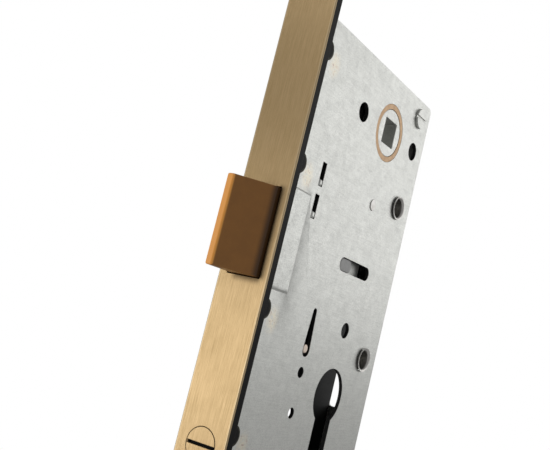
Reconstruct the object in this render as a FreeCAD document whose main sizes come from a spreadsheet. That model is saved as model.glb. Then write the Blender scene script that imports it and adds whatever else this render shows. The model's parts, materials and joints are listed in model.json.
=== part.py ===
import FreeCAD, Part
import os
import re
from math import acos, asin, cos, pi, sin, sqrt

import Sketcher

# Mortise lock for a profile cylinder, with one sprung bevelled latch that the follower
# draws back through a lever, and a slide that the cylinder lifts to deadlock it.
# Millimetres, +Z up. The origin is on the cylinder's axis, half way through the case.
# +X runs into the door, away from the forend, and the cover is on the -Y side.

DIMENSIONS = {
    # distances that the furniture and the strike depend on
    "backset": 50,
    "centres": 85,
    "latch_level": 39.7,
    "rose_spacing": 38,
    "rose_hole": 3,
    # forend
    "forend_width": 16,
    "forend_length": 196,
    "forend_thick": 3,
    "forend_edge": 0.35,
    "forend_screws": 176,
    "forend_screw_hole": 2.3,
    "forend_sink": 2.2,
    "lug_radius": 2.9,
    "lug_set": 0.9,
    "lug_proud": 0.15,
    # case, a flat cover on a folded tray
    "case_thick": 13.4,
    "sheet": 1.2,
    "case_length": 73.6,
    "case_top": 102.6,
    "case_bottom": -33.3,
    "case_corner": 2,
    "notch_gap": 0.05,
    "emboss_length": 10.8,
    "emboss_half": 14.2,
    "emboss_rise": 0.8,
    "emboss_slope": 0.7,
    "window_bottom": -4.1,
    "window_top": 25.7,
    "window_bite": 0.6,
    "window_corner": 1.2,
    "inspection_across": 1.1,
    "inspection_up": 20.7,
    "inspection_hole": 2.45,
    "pilot_across": -19.7,
    "pilot_upper": 5.5,
    "pilot_lower": -6.3,
    "pilot_hole": 1.6,
    # profile cylinder
    "cylinder_radius": 8.6,
    "cylinder_slot": 10,
    "cylinder_foot": 24.5,
    "cylinder_screw_drop": 18,
    "cylinder_screw": 2.5,
    "cylinder_screw_head": 4.6,
    "cylinder_screw_end": -6,
    # latch
    "latch_height": 24.7,
    "latch_thick": 10.2,
    "latch_throw": 10.8,
    "latch_inside": 4.4,
    "latch_tip": 1.9,
    "latch_heel": 1.3,
    "latch_gap": 0.3,
    "latch_edge": 0.5,
    "tail_low": -3.4,
    "tail_high": -0.6,
    "tail_sink": 4.9,
    "tail_end": 7,
    "tail_half": 7.6,
    "tail_lower": 12,
    "tail_neck": 5.5,
    "tail_neck_from": -2.2,
    "rivet_radius": 1.2,
    "rivet_spread": 4.5,
    "rivet_back": 2.6,
    "dog_from": -2.7,
    "dog_to": 0.3,
    "dog_high": 3.4,
    "dog_top": 5.6,
    "dog_bottom": -1,
    "shoe_from": -11.1,
    "shoe_to": -3.5,
    "shoe_half": 2.05,
    "shoe_face": -6.3,
    "slot_from": -12,
    "slot_to": 8.1,
    "slot_half": 2.15,
    # latch spring, in a window of the tail
    "spring_from": -28,
    "spring_window_to": -4,
    "spring_level": -7.6,
    "spring_window_half": 3,
    "spring_wire": 0.4,
    "spring_radius": 2.3,
    "spring_pitch": 2.1,
    "seat_from": -8,
    "seat_to": -5,
    "seat_half": 2.2,
    # bracket that carries the tail's upper edge
    "guide_from": -34.6,
    "guide_to": -32.6,
    "guide_foot_to": -22,
    "guide_foot": 1.2,
    "guide_bottom": 7.9,
    "guide_top": 25.2,
    "guide_reach": 3.2,
    "hook_lower": 8.3,
    "hook_upper": 17.7,
    "hook_height": 2.1,
    "hook_slot": 7,
    "hook_slot_half": 1.15,
    "hook_proud": 0.2,
    # follower, its arm and its return spring
    "spindle_square": 8.1,
    "hub_radius": 7.5,
    "hub_flange": 9.1,
    "hub_end": 6.6,
    "hub_shoulder": 4.6,
    "running": 0.05,
    "press_gap": 0.02,
    "bush_outer": 9.3,
    "bush_flange": 10.3,
    "bush_step": 0.8,
    "arm_low": 0,
    "arm_high": 3,
    "tooth_reach": 12,
    "tooth_radius": 2.5,
    "tooth_neck": 3.2,
    "half_swing": 17.5,
    "coil_radius": 9,
    "coil_wire": 0.55,
    "coil_pitch": 1.25,
    "coil_turns": 2.5,
    "coil_piece": 0.5,
    "coil_from": -4.55,
    "anchor_across": 14,
    "anchor_radius": 1.5,
    # latch lever
    "lever_drop": 24,
    "nose_reach": 17.5,
    "nose_radius": 2.4,
    "lever_bar": 3.4,
    "lever_boss": 5.4,
    "fork_width": 12,
    "fork_reach": 13.5,
    "fork_slot": 6,
    "fork_depth": 9.2,
    "lever_bush": 3.6,
    "post_radius": 2.5,
    "post_tenon": 1.8,
    "post_proud": 0.3,
    "sleeve_radius": 4.2,
    "sleeve_play": 0.1,
    # deadlocking slide
    "slide_low": -3.2,
    "slide_high": -0.7,
    "slide_left": -24,
    "slide_right": -5,
    "slide_bottom": -37.6,
    "slide_shoulder": -19.8,
    "slide_toe": -11.6,
    "slide_toe_top": -28,
    "slide_cam_across": -7,
    "slide_cam_up": -24.2,
    "slide_cam_end": -23.6,
    "block_from": -19,
    "block_to": -13,
    "block_top": -17.8,
    "peg_radius": 1.3,
    "peg_across": -19.7,
    "peg_up": -27.35,
    "peg_face": -6.5,
    "drop_wide": 1.95,
    "drop_narrow": 1,
    "drop_bottom": -27.7,
    "drop_top": -16.3,
    "guide_pin": 1.5,
    "guide_pin_across": -3.4,
    "guide_pin_up": -20,
    "leaf_thick": 0.5,
    "leaf_half": 2,
    "leaf_foot": -28.4,
    "leaf_crest": -24.9,
    "leaf_bottom": -44,
    "leaf_middle": -30,
    "leaf_top": -22,
    # fastenings through the case
    "eyelet_across": 17.4,
    "eyelet_lower": -26.3,
    "eyelet_upper": 25,
    "eyelet_radius": 3.7,
    "eyelet_bore": 3.1,
    "eyelet_rim": 4.3,
    "eyelet_proud": 0.5,
    "screw_radius": 1.95,
    "screw_length": 7,
    "screw_head": 3.4,
    "screw_head_high": 0.9,
    "screw_slot": 0.8,
    "spacer_radius": 3.5,
    "thread_radius": 2,
    "thread_depth": 8,
    "spacer_rear": 19,
    "spacer_front": -36,
    "spacer_top": 57,
    "spacer_foot": -66,
}

DERIVED = {
    "half_case": "case_thick / 2",
    "inner": "case_thick / 2 - sheet",
    "face": "-backset",
    "front": "-backset + forend_thick",
    "rear": "-backset + forend_thick + case_length",
    "pivot_level": "centres - lever_drop",
    "latch_rear": "-backset + latch_inside",
}

# heights of the forend's lugs, counted from the latch
LUG_LEVELS = (53.5, 20.9, -19.6, -53.5)
# (across, up) of what passes through the case
SPACERS = (
    ("spacer_rear", "latch_level + spacer_top"),
    ("spacer_rear", "latch_level + spacer_foot"),
    ("spacer_front", "latch_level + spacer_foot"),
)
EYELETS = (
    ("eyelet_across", "latch_level + eyelet_lower"),
    ("eyelet_across", "latch_level + eyelet_upper"),
)
ROSE_HOLES = (("-rose_spacing / 2", "centres"), ("rose_spacing / 2", "centres"))

NAMES = re.compile(r"\b(%s)\b" % "|".join(list(DIMENSIONS) + list(DERIVED)))
UP = FreeCAD.Vector(0, 0, 1)
ALONG_Y = FreeCAD.Rotation(FreeCAD.Vector(1, 0, 0), -90)
ALONG_X = FreeCAD.Rotation(FreeCAD.Vector(0, 1, 0), 90)

doc = FreeCAD.newDocument("mortise_lock")
dims = doc.addObject("Spreadsheet::Sheet", "dims")
nodes = {}


# ---- the sheet and its formulas ---------------------------------------------


def fill_sheet():
    rows = list(DIMENSIONS.items()) + list(DERIVED.items())
    for row, (alias, content) in enumerate(rows, start=1):
        text = str(content) if alias in DIMENSIONS else "=" + content
        dims.set("A%d" % row, alias)
        dims.set("B%d" % row, text)
        dims.setAlias("B%d" % row, alias)
    doc.recompute()


def formula(text):
    """Turn plain dimension names into references to the sheet."""
    return NAMES.sub(r"dims.\1", str(text))


def number(text):
    """The value of a formula, in millimetres or degrees."""
    return float(dims.evalExpression(formula(text)))


def keep(name, item):
    """Make an object a node, which is exported under this name."""
    item.Label = name
    nodes[name] = item
    return item


# ---- sketches ---------------------------------------------------------------


def new_sketch(body, plane, level, name):
    """A sketch parallel to one of the body's own planes, at a level along its axis."""
    planes = {feature.Role: feature for feature in body.Origin.OriginFeatures}
    sketch = body.newObject("Sketcher::SketchObject", name)
    sketch.AttachmentSupport = [(planes[plane], "")]
    sketch.MapMode = "FlatFace"
    sign = "-" if plane == "XZ_Plane" else ""
    sketch.setExpression("AttachmentOffset.Base.z", formula("%s1 * (%s)" % (sign, level)))
    return sketch


def bind(sketch, kind, refs, text):
    """Add a dimension and bind it to a formula of the sheet."""
    index = sketch.addConstraint(Sketcher.Constraint(kind, *refs, number(text)))
    sketch.setExpression("Constraints[%d]" % index, formula(text))


def locate(sketch, geometry, position, across, up):
    """Fix one point at its distances from the origin."""
    bind(sketch, "DistanceX", (-1, 1, geometry, position), across)
    bind(sketch, "DistanceY", (-1, 1, geometry, position), up)


def point(across, up):
    return FreeCAD.Vector(number(across), number(up), 0)


def polygon(*corners):
    """Straight lines through (across, up) formulas."""

    def draw(sketch):
        starts = [point(*corner) for corner in corners]
        ends = starts[1:] + starts[:1]
        lines = [sketch.addGeometry(Part.LineSegment(a, b)) for a, b in zip(starts, ends)]
        for line, following in zip(lines, lines[1:] + lines[:1]):
            sketch.addConstraint(Sketcher.Constraint("Coincident", line, 2, following, 1))
        for line, corner in zip(lines, corners):
            locate(sketch, line, 1, *corner)

    return draw


def rectangle(left, right, bottom, top):
    return polygon((left, bottom), (right, bottom), (right, top), (left, top))


def circle(across, up, radius):
    def draw(sketch):
        index = sketch.addGeometry(Part.Circle(point(across, up), UP, number(radius)))
        locate(sketch, index, 3, across, up)
        bind(sketch, "Radius", (index,), radius)

    return draw


def round_slot(first, second):
    """Two round ends, each (across, up, radius), and the lines that touch both."""

    def draw(sketch):
        near, far = point(*first[:2]), point(*second[:2])
        near_radius, far_radius = number(first[2]), number(second[2])
        gap = far - near
        heading = gap.getAngle(FreeCAD.Vector(1, 0, 0)) * (1 if gap.y >= 0 else -1)
        spread = acos((near_radius - far_radius) / gap.Length)
        left, right = (
            FreeCAD.Vector(cos(turn), sin(turn), 0)
            for turn in (heading + spread, heading - spread)
        )
        near_arc = sketch.addGeometry(
            Part.ArcOfCircle(
                Part.Circle(near, UP, near_radius), heading + spread, heading - spread + 2 * pi
            )
        )
        far_arc = sketch.addGeometry(
            Part.ArcOfCircle(Part.Circle(far, UP, far_radius), heading - spread, heading + spread)
        )
        left_line = sketch.addGeometry(
            Part.LineSegment(far + left * far_radius, near + left * near_radius)
        )
        right_line = sketch.addGeometry(
            Part.LineSegment(near + right * near_radius, far + right * far_radius)
        )
        for arc, arc_end, line, line_end in (
            (far_arc, 2, left_line, 1),
            (near_arc, 1, left_line, 2),
            (near_arc, 2, right_line, 1),
            (far_arc, 1, right_line, 2),
        ):
            sketch.addConstraint(Sketcher.Constraint("Tangent", arc, arc_end, line, line_end))
        for arc, end in ((near_arc, first), (far_arc, second)):
            locate(sketch, arc, 3, end[0], end[1])
            bind(sketch, "Radius", (arc,), end[2])

    return draw


def cylinder_profile(sketch):
    """The profile cylinder's hole: a circle with a round-footed slot below it."""
    radius, half = number("cylinder_radius"), number("cylinder_slot / 2")
    foot = half - number("cylinder_foot")
    shoulder = -sqrt(radius**2 - half**2)
    opening = asin(half / radius)
    barrel = sketch.addGeometry(
        Part.ArcOfCircle(
            Part.Circle(FreeCAD.Vector(), UP, radius), opening - pi / 2, 3 * pi / 2 - opening
        )
    )
    toe = sketch.addGeometry(
        Part.ArcOfCircle(Part.Circle(FreeCAD.Vector(0, foot, 0), UP, half), pi, 2 * pi)
    )
    left, right = (
        sketch.addGeometry(Part.LineSegment(FreeCAD.Vector(x, a, 0), FreeCAD.Vector(x, b, 0)))
        for x, a, b in ((-half, shoulder, foot), (half, foot, shoulder))
    )
    for kind, refs in (
        ("Coincident", (barrel, 3, -1, 1)),
        ("Coincident", (barrel, 2, left, 1)),
        ("Coincident", (barrel, 1, right, 2)),
        ("Tangent", (left, 2, toe, 1)),
        ("Tangent", (toe, 2, right, 1)),
    ):
        sketch.addConstraint(Sketcher.Constraint(kind, *refs))
    bind(sketch, "Radius", (barrel,), "cylinder_radius")
    locate(sketch, toe, 3, "0", "cylinder_slot / 2 - cylinder_foot")
    bind(sketch, "Radius", (toe,), "cylinder_slot / 2")


# ---- features ---------------------------------------------------------------


def new_body(name):
    return keep(name, doc.addObject("PartDesign::Body", name))


def pad(body, name, plane, low, high, *outlines):
    """Fill the outlines from low to high along the axis that the plane faces."""
    start = high if plane == "XZ_Plane" else low
    sketch = new_sketch(body, plane, start, name + "_outline")
    for draw in outlines:
        draw(sketch)
    feature = body.newObject("PartDesign::Pad", name)
    feature.Profile = sketch
    feature.setExpression("Length", formula("(%s) - (%s)" % (high, low)))
    doc.recompute()
    return feature


def pocket(body, name, plane, low, high, *outlines):
    """Cut the outlines away from low to high along the axis that the plane faces."""
    start = low if plane == "XZ_Plane" else high
    before = body.Shape.Volume
    sketch = new_sketch(body, plane, start, name + "_outline")
    for draw in outlines:
        draw(sketch)
    feature = body.newObject("PartDesign::Pocket", name)
    feature.Profile = sketch
    feature.setExpression("Length", formula("(%s) - (%s)" % (high, low)))
    doc.recompute()
    if body.Shape.Volume >= before:
        raise ValueError("%s cuts nothing" % name)
    return feature


def dress(body, kind, name, size, wanted):
    """Fillet or chamfer the edges of the body for which wanted(edge) is true."""
    base = body.Tip
    names = [
        "Edge%d" % index for index, edge in enumerate(base.Shape.Edges, start=1) if wanted(edge)
    ]
    if not names:
        raise ValueError("%s finds no edge" % name)
    feature = body.newObject("PartDesign::" + kind, name)
    feature.Base = (base, names)
    feature.setExpression("Radius" if kind == "Fillet" else "Size", formula(size))
    doc.recompute()
    return feature


def runs_along(edge, axis):
    """True for a straight edge along X, Y or Z."""
    if edge.Curve.TypeId != "Part::GeomLine":
        return False
    return abs(getattr(edge.Curve.Direction, axis)) > 0.999


def lies_at(edge, **places):
    """True for an edge whose box is flat at each place, such as x=-50."""
    box = edge.BoundBox
    limits = {"x": (box.XMin, box.XMax), "y": (box.YMin, box.YMax), "z": (box.ZMin, box.ZMax)}
    return all(
        abs(limits[axis][0] - place) < 0.01 and abs(limits[axis][1] - place) < 0.01
        for axis, place in places.items()
    )


def solid(kind, name, place, rotation=None, **sizes):
    """A Part primitive whose sizes and place are formulas."""
    item = doc.addObject("Part::" + kind, name)
    for size, text in sizes.items():
        item.setExpression(size, formula(text))
    item.Placement = FreeCAD.Placement(FreeCAD.Vector(), rotation or FreeCAD.Rotation())
    for axis, text in zip("xyz", place):
        item.setExpression("Placement.Base." + axis, formula(text))
    return item


def rod(name, across, low, up, radius, high):
    """A round bar along Y from low to high."""
    length = "(%s) - (%s)" % (high, low)
    return solid("Cylinder", name, (across, low, up), ALONG_Y, Radius=radius, Height=length)


def block(name, left, right, low, high, bottom, top):
    sizes = {
        "Length": "(%s) - (%s)" % (right, left),
        "Width": "(%s) - (%s)" % (high, low),
        "Height": "(%s) - (%s)" % (top, bottom),
    }
    return solid("Box", name, (left, low, bottom), **sizes)


def cut(name, base, tool):
    item = doc.addObject("Part::Cut", name)
    item.Base, item.Tool = base, tool
    return item


def fuse(name, *shapes):
    item = doc.addObject("Part::MultiFuse", name)
    item.Shapes = list(shapes)
    return item


def group(name, *members):
    item = doc.addObject("Part::Compound", name)
    item.Links = list(members)
    return keep(name, item)


def coil(name, place, rotation, radius, wire, pitch, height):
    """A round wire wound along a helix, whose line is cut into pieces of half a turn."""
    helix = solid(
        "Helix", name + "_line", place, rotation,
        Radius=radius, Pitch=pitch, Height=height, SegmentLength="coil_piece",
    )
    ring = doc.addObject("Part::Circle", name + "_section")
    ring.setExpression("Radius", formula(wire))
    start = rotation.multVec(FreeCAD.Vector(number(radius), 0, 0))
    facing = rotation.multiply(FreeCAD.Rotation(FreeCAD.Vector(1, 0, 0), 90))
    ring.Placement = FreeCAD.Placement(start, facing)
    for axis, text in zip("xyz", place):
        offset = getattr(start, axis)
        ring.setExpression("Placement.Base." + axis, formula("%s + %.6f" % (text, offset)))
    sweep = doc.addObject("Part::Sweep", name + "_wire")
    sweep.Sections, sweep.Spine = [ring], (helix, [])
    sweep.Solid, sweep.Frenet = True, True
    return sweep


# ---- forend -----------------------------------------------------------------


def make_forend():
    body = new_body("forend")
    half_width, half_length = "forend_width / 2", "forend_length / 2"
    pad(
        body, "plate", "YZ_Plane", "face", "front",
        rectangle(
            "-" + half_width, half_width,
            "latch_level - " + half_length, "latch_level + " + half_length,
        ),
    )
    half_opening, half_height = "latch_thick / 2 + latch_gap", "latch_height / 2 + latch_gap"
    pocket(
        body, "latch_opening", "YZ_Plane", "face", "front",
        rectangle(
            "-latch_thick / 2 - latch_gap", half_opening,
            "latch_level - (%s)" % half_height, "latch_level + " + half_height,
        ),
    )
    pocket(
        body, "screw_holes", "YZ_Plane", "face", "front",
        circle("0", "latch_level + forend_screws / 2", "forend_screw_hole"),
        circle("0", "latch_level - forend_screws / 2", "forend_screw_hole"),
        circle("0", "-cylinder_screw_drop", "cylinder_screw + notch_gap"),
    )
    face = number("face")
    dress(
        body, "Chamfer", "countersinks", "forend_sink",
        lambda edge: lies_at(edge, x=face) and edge.Curve.TypeId == "Part::GeomCircle",
    )
    for side, low, high in (
        ("cover", "-half_case - lug_proud", "-inner"),
        ("tray", "inner", "half_case + lug_proud"),
    ):
        pad(
            body, side + "_lugs", "XZ_Plane", low, high,
            *(
                circle("front + lug_set", "latch_level + %s" % level, "lug_radius")
                for level in LUG_LEVELS
            ),
        )
    side = number("forend_width / 2")
    dress(
        body, "Fillet", "softened_edges", "forend_edge",
        lambda edge: runs_along(edge, "z") and (lies_at(edge, x=face, y=side)
                                                or lies_at(edge, x=face, y=-side)),
    )


# ---- case -------------------------------------------------------------------


def through_holes():
    """The holes that the cover and the tray's floor have in common."""
    holes = [cylinder_profile, circle("0", "centres", "bush_outer + press_gap")]
    holes += [circle(across, up, "rose_hole") for across, up in ROSE_HOLES]
    holes += [circle(across, up, "eyelet_radius + press_gap") for across, up in EYELETS]
    holes += [circle(across, up, "thread_radius + press_gap") for across, up in SPACERS]
    holes.append(circle("0", "pivot_level", "post_tenon + press_gap"))
    holes.append(circle("pilot_across", "pilot_upper", "pilot_hole"))
    holes.append(circle("pilot_across", "pilot_lower", "pilot_hole"))
    for hook in ("hook_lower", "hook_upper"):
        middle = "(guide_from + guide_to) / 2"
        holes.append(
            rectangle(
                middle + " - hook_slot_half", middle + " + hook_slot_half",
                "latch_level + %s - notch_gap" % hook, "latch_level + %s + hook_slot" % hook,
            )
        )
    return holes


def notch_lugs(body, name, low, high):
    pocket(
        body, name, "XZ_Plane", low, high,
        *(
            circle("front + lug_set", "latch_level + %s" % level, "lug_radius + notch_gap")
            for level in LUG_LEVELS
        ),
    )


def round_rear_corners(body, name):
    rear = number("rear")
    dress(
        body, "Fillet", name, "case_corner",
        lambda edge: runs_along(edge, "y") and lies_at(edge, x=rear),
    )


def make_cover():
    body = new_body("case_cover")
    outer, inside = "-half_case", "-inner"
    pad(
        body, "cover_sheet", "XZ_Plane", outer, inside,
        rectangle("front", "rear", "case_bottom", "case_top"),
        *through_holes(),
        round_slot(
            ("slot_from + slot_half", "latch_level", "slot_half"),
            ("slot_to - slot_half", "latch_level", "slot_half"),
        ),
        round_slot(
            ("peg_across", "latch_level + drop_bottom", "drop_wide"),
            ("peg_across", "latch_level + drop_top", "drop_narrow"),
        ),
        circle("inspection_across", "inspection_up", "inspection_hole"),
    )
    round_rear_corners(body, "cover_corners")
    notch_lugs(body, "cover_notches", outer, inside)
    proud = "-half_case - emboss_rise"
    pad(
        body, "emboss", "XZ_Plane", proud, outer,
        rectangle(
            "front", "front + emboss_length",
            "latch_level - emboss_half", "latch_level + emboss_half",
        ),
    )
    level = number(proud)
    front = number("front")
    dress(
        body, "Chamfer", "emboss_slopes", "emboss_slope",
        lambda edge: lies_at(edge, y=level) and not lies_at(edge, x=front),
    )
    pocket(
        body, "emboss_hollow", "XZ_Plane", "-inner - emboss_rise", inside,
        rectangle(
            "front", "front + emboss_length - emboss_rise",
            "latch_level - emboss_half + emboss_rise", "latch_level + emboss_half - emboss_rise",
        ),
    )


def make_tray():
    body = new_body("case_tray")
    pad(
        body, "floor", "XZ_Plane", "inner", "half_case",
        rectangle("front", "rear", "case_bottom", "case_top"), *through_holes(),
    )
    notch_lugs(body, "floor_notches", "inner", "half_case")
    pad(
        body, "walls", "XZ_Plane", "-inner", "inner",
        rectangle("front", "rear", "case_bottom", "case_top"),
        rectangle("front + sheet", "rear - sheet", "case_bottom + sheet", "case_top - sheet"),
    )
    round_rear_corners(body, "tray_corners")
    half_height = "latch_height / 2 + latch_gap"
    pocket(
        body, "flange_openings", "YZ_Plane", "front", "front + sheet",
        rectangle(
            "-inner", "inner",
            "latch_level - (%s)" % half_height, "latch_level + " + half_height,
        ),
        circle("0", "-cylinder_screw_drop", "cylinder_screw + notch_gap"),
    )
    window_edge = "inner + window_bite - window_corner"
    pocket(
        body, "rear_window", "YZ_Plane", "rear - sheet", "rear",
        rectangle("-inner", window_edge, "window_bottom", "window_top"),
    )
    pocket(
        body, "window_corners", "YZ_Plane", "rear - sheet", "rear",
        round_slot(
            (window_edge, "window_bottom + window_corner", "window_corner"),
            (window_edge, "window_top - window_corner", "window_corner"),
        ),
    )


# ---- fastenings -------------------------------------------------------------


def make_eyelets():
    tubes = []
    for index, (across, up) in enumerate(EYELETS):
        name = "eyelet_%d" % index
        low, high = "-half_case", "half_case"
        end_low, end_high = low + " - eyelet_proud", high + " + eyelet_proud"
        body = fuse(
            name + "_outside",
            rod(name + "_tube", across, low, up, "eyelet_radius", high),
            rod(name + "_rim", across, end_low, up, "eyelet_rim", low),
            rod(name + "_back_rim", across, high, up, "eyelet_rim", end_high),
        )
        bore = rod(name + "_bore", across, end_low, up, "eyelet_bore", end_high)
        tubes.append(cut(name, body, bore))
    group("tubular_rivets", *tubes)


def make_spacers_and_screws():
    spacers, screws = [], []
    for index, (across, up) in enumerate(SPACERS):
        name = "spacer_%d" % index
        stem = fuse(
            name + "_stem",
            rod(name + "_barrel", across, "-inner", up, "spacer_radius", "inner"),
            rod(name + "_tenon", across, "inner", up, "thread_radius", "half_case"),
        )
        thread = rod(name + "_thread", across, "-inner", up, "thread_radius", "thread_depth - inner")
        spacers.append(cut(name, stem, thread))
        name = "cover_screw_%d" % index
        top = "-half_case - screw_head_high"
        shape = fuse(
            name + "_blank",
            rod(name + "_head", across, top, up, "screw_head", "-half_case"),
            rod(name + "_shank", across, "-half_case", up, "screw_radius", "screw_length - half_case"),
        )
        slot = block(
            name + "_slot", across + " - screw_head", across + " + screw_head",
            top, top + " + screw_head_high / 2",
            up + " - screw_slot / 2", up + " + screw_slot / 2",
        )
        screws.append(cut(name, shape, slot))
    group("spacer_posts", *spacers)
    group("cover_screws", *screws)


def make_cylinder_screw():
    place = ("face", "0", "-cylinder_screw_drop")
    head_depth = "cylinder_screw_head - cylinder_screw"
    head = solid(
        "Cone", "cylinder_screw_head_cone", place, ALONG_X,
        Radius1="cylinder_screw_head", Radius2="cylinder_screw", Height=head_depth,
    )
    shank = solid(
        "Cylinder", "cylinder_screw_shank", place, ALONG_X,
        Radius="cylinder_screw", Height="cylinder_screw_end - face",
    )
    slot = block(
        "cylinder_screw_slot", "face", "face + screw_slot",
        "-cylinder_screw_head", "cylinder_screw_head",
        "-cylinder_screw_drop - screw_slot / 2", "-cylinder_screw_drop + screw_slot / 2",
    )
    blank = fuse("cylinder_screw_blank", head, shank)
    keep("cylinder_screw", cut("cylinder_screw", blank, slot))


# ---- latch ------------------------------------------------------------------


def make_latch_head():
    body = new_body("latch_head")
    half, half_height = "latch_thick / 2", "latch_height / 2"
    pad(
        body, "block", "XY_Plane",
        "latch_level - " + half_height, "latch_level + " + half_height,
        polygon(
            ("latch_rear", "-" + half),
            ("face - latch_heel", "-" + half),
            ("face - latch_throw", half + " - latch_tip"),
            ("face - latch_throw", half),
            ("latch_rear", half),
        ),
    )
    rear = number("latch_rear")
    dress(
        body, "Fillet", "softened_edges", "latch_edge",
        lambda edge: not lies_at(edge, x=rear),
    )
    pocket(
        body, "tail_slot", "YZ_Plane", "latch_rear - tail_sink", "latch_rear",
        rectangle(
            "tail_low", "tail_high", "latch_level - tail_half", "latch_level + tail_half"
        ),
    )
    pocket(
        body, "rivet_holes", "XZ_Plane", "-" + half, half,
        circle("latch_rear - rivet_back", "latch_level + rivet_spread", "rivet_radius"),
        circle("latch_rear - rivet_back", "latch_level - rivet_spread", "rivet_radius"),
    )


def make_latch_tail():
    body = new_body("latch_tail")
    upper, lower = "latch_level + tail_half", "latch_level - tail_half"
    pad(
        body, "tail_plate", "XZ_Plane", "tail_low", "tail_high",
        polygon(
            ("latch_rear - tail_sink", lower),
            ("latch_rear", lower),
            ("latch_rear", "latch_level - tail_lower"),
            ("tail_neck_from", "latch_level - tail_lower"),
            ("tail_neck_from", "latch_level - tail_neck"),
            ("tail_end", "latch_level - tail_neck"),
            ("tail_end", upper),
            ("latch_rear - tail_sink", upper),
        ),
        rectangle(
            "spring_from", "spring_window_to",
            "latch_level + spring_level - spring_window_half",
            "latch_level + spring_level + spring_window_half",
        ),
        circle("latch_rear - rivet_back", "latch_level + rivet_spread", "rivet_radius"),
        circle("latch_rear - rivet_back", "latch_level - rivet_spread", "rivet_radius"),
    )
    pad(
        body, "dog", "XZ_Plane", "tail_high", "dog_high",
        rectangle(
            "dog_from", "dog_to", "latch_level + dog_bottom", "latch_level + dog_top"
        ),
    )


def make_latch_trim():
    half = "latch_thick / 2"
    group(
        "latch_rivets",
        *(
            rod(
                "latch_rivet_" + name, "latch_rear - rivet_back", "-" + half,
                "latch_level %s rivet_spread" % sign, "rivet_radius", half,
            )
            for name, sign in (("upper", "+"), ("lower", "-"))
        ),
    )
    body = new_body("tail_shoe")
    pad(
        body, "shoe", "XZ_Plane", "shoe_face", "tail_low",
        round_slot(
            ("shoe_from + shoe_half", "latch_level", "shoe_half"),
            ("shoe_to - shoe_half", "latch_level", "shoe_half"),
        ),
    )


def make_latch_spring():
    middle = ("spring_from + spring_wire", "(tail_low + tail_high) / 2", "latch_level + spring_level")
    spring = coil(
        "latch_spring", middle, ALONG_X, "spring_radius", "spring_wire", "spring_pitch",
        "seat_from - spring_from - 2 * spring_wire",
    )
    keep("latch_spring", spring)
    keep(
        "spring_seat",
        block(
            "spring_seat", "seat_from", "seat_to", "-inner", "inner",
            "latch_level + spring_level - seat_half", "latch_level + spring_level + seat_half",
        ),
    )


def make_latch_guide():
    body = new_body("latch_guide")
    pad(
        body, "strip", "XZ_Plane", "-guide_reach", "guide_reach",
        polygon(
            ("guide_from", "latch_level + guide_bottom"),
            ("guide_foot_to", "latch_level + guide_bottom"),
            ("guide_foot_to", "latch_level + guide_bottom + guide_foot"),
            ("guide_to", "latch_level + guide_bottom + guide_foot"),
            ("guide_to", "latch_level + guide_top"),
            ("guide_from", "latch_level + guide_top"),
        ),
    )
    pad(
        body, "hooks", "XZ_Plane", "-half_case - hook_proud", "half_case + hook_proud",
        *(
            rectangle(
                "guide_from", "guide_to",
                "latch_level + " + hook, "latch_level + %s + hook_height" % hook,
            )
            for hook in ("hook_lower", "hook_upper")
        ),
    )


# ---- follower ---------------------------------------------------------------


def make_bush(name, outer, inside, end):
    """A flanged ring in one wall; outer and inside are the wall's faces."""
    low, high = sorted((outer, inside), key=number)
    flange_low, flange_high = sorted((inside, end), key=number)
    ring = fuse(
        name + "_blank",
        rod(name + "_ring", "0", low, "centres", "bush_outer", high),
        rod(name + "_flange", "0", flange_low, "centres", "bush_flange", flange_high),
    )
    limits = sorted((outer, end), key=number)
    bore = rod(name + "_bore", "0", limits[0], "centres", "hub_radius + running", limits[1])
    keep(name, cut(name, ring, bore))


def make_follower():
    make_bush("follower_bush_cover", "-half_case", "-inner", "-inner + bush_step")
    make_bush("follower_bush_tray", "half_case", "inner", "inner - bush_step")
    barrel = fuse(
        "hub_blank",
        rod("hub_barrel", "0", "-hub_end", "centres", "hub_radius", "hub_end"),
        rod("hub_collar", "0", "arm_high", "centres", "hub_flange", "hub_shoulder"),
    )
    half = "spindle_square / 2"
    socket = block(
        "spindle_hole", "-" + half, half, "-hub_end", "hub_end",
        "centres - " + half, "centres + " + half,
    )
    keep("follower_hub", cut("follower_hub", barrel, socket))

    body = new_body("follower_arm")
    pad(
        body, "ring", "XZ_Plane", "arm_low", "arm_high",
        circle("0", "0", "hub_flange"), circle("0", "0", "hub_radius"),
    )
    pad(
        body, "neck", "XZ_Plane", "arm_low", "arm_high",
        rectangle(
            "-tooth_neck / 2", "tooth_neck / 2", "-tooth_reach", "-hub_radius - running * 10"
        ),
    )
    pad(
        body, "tooth", "XZ_Plane", "arm_low", "arm_high",
        circle("0", "-tooth_reach", "tooth_radius"),
    )
    turn_about_y(body, "0", "centres", "-half_swing")

    keep(
        "spring_anchor",
        rod("spring_anchor", "anchor_across", "-inner", "centres", "anchor_radius", "inner"),
    )
    spring = coil(
        "follower_spring", ("0", "coil_from + coil_wire", "centres"), ALONG_Y,
        "coil_radius", "coil_wire", "coil_pitch", "coil_turns * coil_pitch",
    )
    keep("follower_spring", spring)


def turn_about_y(body, across, up, angle):
    """Set a body down at (across, up), turned about the Y axis."""
    body.Placement = FreeCAD.Placement(
        FreeCAD.Vector(), FreeCAD.Rotation(FreeCAD.Vector(0, 1, 0), number(angle))
    )
    body.setExpression("Placement.Base.x", formula(across))
    body.setExpression("Placement.Base.z", formula(up))


# ---- lever ------------------------------------------------------------------


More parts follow.
